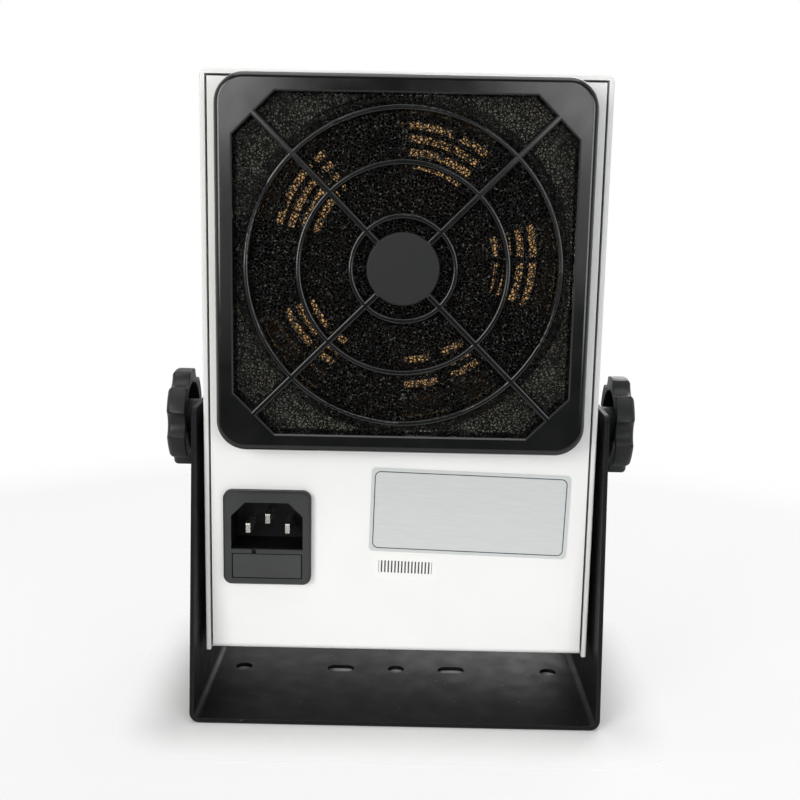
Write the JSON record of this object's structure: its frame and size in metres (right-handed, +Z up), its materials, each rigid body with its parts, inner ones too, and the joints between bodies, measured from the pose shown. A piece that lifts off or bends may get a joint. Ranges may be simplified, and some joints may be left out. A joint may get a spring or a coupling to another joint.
{
  "type": "ionizing blower",
  "caption": "Bench ionizing air blower: upright sheet-steel fan housing with a foam intake filter, emitter ring, mains inlet and front controls, tilting between the arms of a U stand.",
  "frame": {"origin": "on the table, under the middle of the stand's base, below the tilt axis", "axes": "+Z up, the air outlet faces -Y, the filter and the mains inlet face +Y, +X is to the right seen from the outlet side"},
  "size_m": [0.1692, 0.0911, 0.2241],
  "materials": {
    "white_paint": "fine powder coat, semi-gloss",
    "black_paint": "black powder coat, satin",
    "steel": "zinc plated",
    "guard_plastic": "moulded, semi-gloss",
    "foam": "open-cell foam, matte",
    "knob_plastic": "moulded, fine grain",
    "fan_metal": "die-cast, black paint",
    "fan_plastic": "moulded",
    "winding": "laminations and varnish",
    "insulator": "moulded insulator",
    "inlet_plastic": "moulded, fine grain",
    "contact": "plated",
    "fuse_glass": "clear tube",
    "plate_foil": "silver foil, matte",
    "sticker": "white film",
    "fibre": "black fibre",
    "lamp_lens": "translucent green",
    "transformer_case": "potted steel case",
    "brush": "short bristles",
    "red_wire": "thick insulation",
    "black_wire": "insulation"
  },
  "bodies": {
    "stand": {"stand_bracket": "black_paint"},
    "housing": {"chassis": "white_paint", "cover_wrap": "white_paint", "cover_screws": "white_paint", "pivot_nuts": "steel", "friction_washers": "fibre", "filter_base": "guard_plastic", "filter_foam": "foam", "filter_screws": "steel", "filter_nuts": "steel", "fan_frame": "fan_metal", "fan_stator": "winding", "fan_bearings": "steel", "emitter_ring": "insulator", "emitter_pins": "steel", "outlet_grille": "guard_plastic", "grille_screws": "steel", "inlet_body": "inlet_plastic", "inlet_pins": "contact", "rating_plate": "plate_foil", "serial_sticker": "sticker", "speed_switch": "inlet_plastic", "switch_nut": "steel", "power_lamp": "lamp_lens", "hv_transformer": "transformer_case", "transformer_screws": "steel", "hv_lead": "red_wire", "supply_leads": "black_wire", "fan_lead": "black_wire"},
    "filter_cover": {"filter_cover": "guard_plastic"},
    "fan_rotor": {"fan_rotor": "fan_plastic", "fan_shaft": "steel"},
    "cleaner": {"cleaner_shaft": "steel", "cleaner_knob": "knob_plastic", "cleaner_arm": "insulator", "cleaner_brush": "brush"},
    "fuse_drawer": {"fuse_drawer": "inlet_plastic", "fuses": "fuse_glass"},
    "speed_knob": {"speed_shaft": "steel", "speed_knob": "knob_plastic"},
    "clamp_washer_right": {"clamp_washer_right": "steel"},
    "clamp_knob_right": {"clamp_knob_right": "knob_plastic", "clamp_screw_right": "steel"},
    "clamp_washer_left": {"clamp_washer_left": "steel"},
    "clamp_knob_left": {"clamp_knob_left": "knob_plastic", "clamp_screw_left": "steel"}
  },
  "joints": [
    {"name": "tilt", "type": "hinge", "parent": "stand", "child": "housing", "pos_m": [0, 0, 0.10083], "axis": [1, 0, 0], "range_deg": [-90, 90]},
    {"name": "right_clamp_advance", "type": "slide", "parent": "housing", "child": "clamp_washer_right", "axis": [1, 0, 0], "range_m": [0, 0.001]},
    {"name": "right_clamp_turn", "type": "hinge", "parent": "clamp_washer_right", "child": "clamp_knob_right", "pos_m": [0.0785, 0, 0.10083], "axis": [1, 0, 0], "range_deg": [0, 360]},
    {"name": "left_clamp_advance", "type": "slide", "parent": "housing", "child": "clamp_washer_left", "axis": [-1, 0, 0], "range_m": [0, 0.001]},
    {"name": "left_clamp_turn", "type": "hinge", "parent": "clamp_washer_left", "child": "clamp_knob_left", "pos_m": [-0.0785, 0, 0.10083], "axis": [-1, 0, 0], "range_deg": [0, 360]},
    {"name": "filter_cover_pull", "type": "slide", "parent": "housing", "child": "filter_cover", "axis": [0, 1, 0], "range_m": [0, 0.02]},
    {"name": "fan_spin", "type": "hinge", "parent": "housing", "child": "fan_rotor", "pos_m": [0, 0, 0.15983], "axis": [0, 1, 0], "continuous": true},
    {"name": "cleaner_turn", "type": "hinge", "parent": "housing", "child": "cleaner", "pos_m": [0, -0.035, 0.15983], "axis": [0, -1, 0], "continuous": true},
    {"name": "fuse_drawer_pull", "type": "slide", "parent": "housing", "child": "fuse_drawer", "axis": [0, 1, 0], "range_m": [0, 0.014]},
    {"name": "speed_turn", "type": "hinge", "parent": "housing", "child": "speed_knob", "pos_m": [0.038, -0.038, 0.05883], "axis": [0, -1, 0], "range_deg": [0, 270]}
  ],
  "couplings": [
    {"joint": "right_clamp_turn", "follows": "right_clamp_advance", "rad_per_m": 6283.2},
    {"joint": "left_clamp_turn", "follows": "left_clamp_advance", "rad_per_m": 6283.2}
  ]
}
